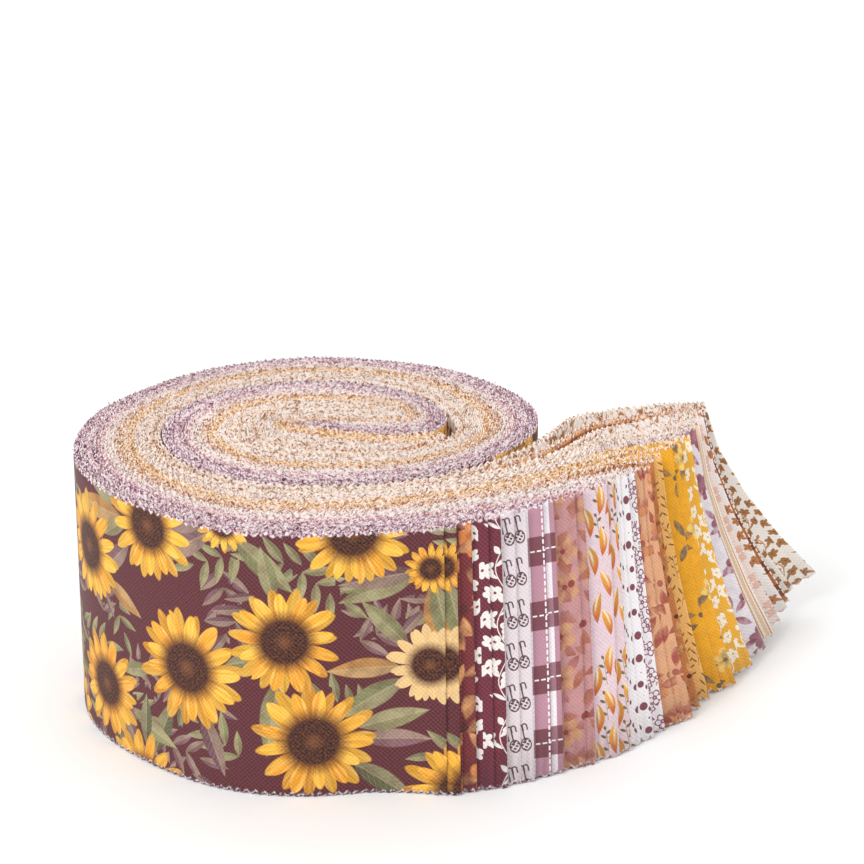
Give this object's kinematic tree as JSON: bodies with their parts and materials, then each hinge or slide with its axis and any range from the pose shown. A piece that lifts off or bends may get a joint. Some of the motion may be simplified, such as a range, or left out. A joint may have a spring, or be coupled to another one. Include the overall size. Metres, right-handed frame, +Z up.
{
  "type": "roll of quilting fabric strips",
  "caption": "Wound roll of narrow printed cotton strips with pinked edges, standing on edge, its loose folded ends fanned out to one side; precut cloth for patchwork.",
  "frame": {"origin": "on the roll's axis, at the flat underside where the strips' lower edges stand on the surface", "axes": "+Z up along the roll's axis; the loose ends fan out towards +X, and the front of the roll faces -Y"},
  "size_m": [0.1791, 0.1102, 0.0635],
  "materials": {
    "wound_cloth": "matt woven cotton, pinked edges",
    "cloth_01_sunflower": "matt printed cotton",
    "cloth_02_autumn_bloom": "matt printed cotton",
    "cloth_03_maroon_vine": "matt printed cotton",
    "cloth_04_acorn_sketch": "matt printed cotton",
    "cloth_05_plum_gingham": "matt printed cotton",
    "cloth_06_rose_bloom": "matt printed cotton",
    "cloth_07_pink_tulip": "matt printed cotton",
    "cloth_08_berry_sprig": "matt printed cotton",
    "cloth_09_line_flower": "matt printed cotton",
    "cloth_10_peach_leaf": "matt printed cotton",
    "cloth_11_rust_leaf": "matt printed cotton",
    "cloth_12_gold_leaf": "matt printed cotton",
    "cloth_13_gold_bloom": "matt printed cotton",
    "cloth_14_gold_vine": "matt printed cotton",
    "cloth_15_maroon_leaf": "matt printed cotton",
    "cloth_16_cream_stripe": "matt printed cotton",
    "cloth_17_cream_plaid": "matt printed cotton",
    "cloth_18_tan_vine": "matt printed cotton",
    "cloth_19_rust_plaid": "matt printed cotton",
    "cloth_20_brown_vine": "matt printed cotton"
  },
  "bodies": {
    "root": {"wound_roll": "wound_cloth", "strips_01_sunflower": "cloth_01_sunflower", "strips_02_autumn_bloom": "cloth_02_autumn_bloom", "strips_03_maroon_vine": "cloth_03_maroon_vine", "strips_04_acorn_sketch": "cloth_04_acorn_sketch", "strips_05_plum_gingham": "cloth_05_plum_gingham", "strips_06_rose_bloom": "cloth_06_rose_bloom", "strips_07_pink_tulip": "cloth_07_pink_tulip", "strips_08_berry_sprig": "cloth_08_berry_sprig", "strips_09_line_flower": "cloth_09_line_flower", "strips_10_peach_leaf": "cloth_10_peach_leaf", "strips_11_rust_leaf": "cloth_11_rust_leaf", "strips_12_gold_leaf": "cloth_12_gold_leaf", "strips_13_gold_bloom": "cloth_13_gold_bloom", "strips_14_gold_vine": "cloth_14_gold_vine", "strips_15_maroon_leaf": "cloth_15_maroon_leaf", "strips_16_cream_stripe": "cloth_16_cream_stripe", "strips_17_cream_plaid": "cloth_17_cream_plaid", "strips_18_tan_vine": "cloth_18_tan_vine", "strips_19_rust_plaid": "cloth_19_rust_plaid", "strips_20_brown_vine": "cloth_20_brown_vine"}
  },
  "joints": []
}
